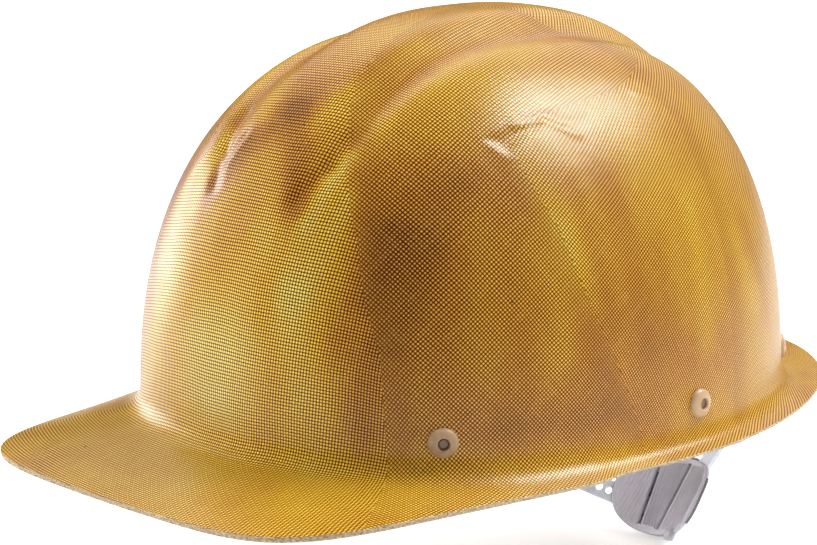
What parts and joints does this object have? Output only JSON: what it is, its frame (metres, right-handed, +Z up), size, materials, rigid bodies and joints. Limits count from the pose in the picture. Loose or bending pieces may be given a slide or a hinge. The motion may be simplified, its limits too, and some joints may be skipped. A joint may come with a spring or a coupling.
{
  "type": "safety helmet",
  "caption": "Full-size safety helmet: glossy resin-bonded woven shell with a front peak, riveted textile cradle, headband and a nape adjuster set by a knob.",
  "frame": {"origin": "middle of the head opening, level with the side rim, where the wearer's head goes in", "axes": "-Y is the way the wearer looks, +X is the wearer's left, +Z is up"},
  "size_m": [0.2224, 0.321, 0.2236],
  "materials": {
    "laminate": "glossy amber resin over plain-woven cloth",
    "rivet": "tan moulded plastic, slightly glossy",
    "anchor": "natural moulded polyethylene",
    "webbing": "off-white woven tape with sewn ends",
    "band": "grey moulded polyethylene",
    "stud": "dark grey moulded plastic",
    "sweatband": "dark perforated leather over foam",
    "strap": "bluish white, slightly see-through polyethylene",
    "plate": "lavender grey moulded plastic with fine ribs",
    "cover": "mid grey moulded plastic",
    "knob": "mid grey moulded plastic with grips",
    "steel": "bright zinc-plated steel"
  },
  "bodies": {
    "helmet": {"shell": "laminate", "shell_rivets": "rivet", "rivet_pins": "rivet", "rivet_washers": "rivet", "anchor_front_left": "anchor", "anchor_front_right": "anchor", "anchor_side_left": "anchor", "anchor_side_right": "anchor", "anchor_rear_left": "anchor", "anchor_rear_right": "anchor", "crown_web_side": "webbing", "crown_web_left_front": "webbing", "crown_web_right_front": "webbing", "headband": "band", "headband_studs": "stud", "sweatband": "sweatband", "sweatband_studs": "stud"},
    "nape_left": {"nape_strap_left": "strap"},
    "nape_right": {"nape_strap_right": "strap"},
    "adjuster": {"nape_plate": "plate", "adjuster_cover": "cover", "ratchet_ring": "cover"},
    "knob": {"pinion": "knob", "detent_spring": "steel", "adjuster_knob": "knob", "knob_screw": "steel"}
  },
  "joints": [
    {"name": "adjuster_slide", "type": "slide", "parent": "helmet", "child": "adjuster", "axis": [0, 0.8192, -0.5736], "range_m": [-0.001, 0.007]},
    {"name": "nape_left_hinge", "type": "hinge", "parent": "helmet", "child": "nape_left", "pos_m": [0.066, 0.08779, -0.00388], "axis": [0, 0.5736, 0.8192], "range_deg": [-6.18, 0.97]},
    {"name": "nape_right_hinge", "type": "hinge", "parent": "helmet", "child": "nape_right", "pos_m": [-0.066, 0.08779, -0.00388], "axis": [0, 0.5736, 0.8192], "range_deg": [-0.97, 6.18]},
    {"name": "knob_turn", "type": "hinge", "parent": "adjuster", "child": "knob", "pos_m": [0, 0.0723, -0.026], "axis": [0, 0.8192, -0.5736], "range_deg": [-7.5, 49.7]}
  ],
  "couplings": [
    {"joint": "nape_left_hinge", "follows": "adjuster_slide", "rad_per_m": -15.152},
    {"joint": "nape_right_hinge", "follows": "adjuster_slide", "rad_per_m": 15.152},
    {"joint": "knob_turn", "follows": "adjuster_slide", "rad_per_m": 122.59}
  ]
}
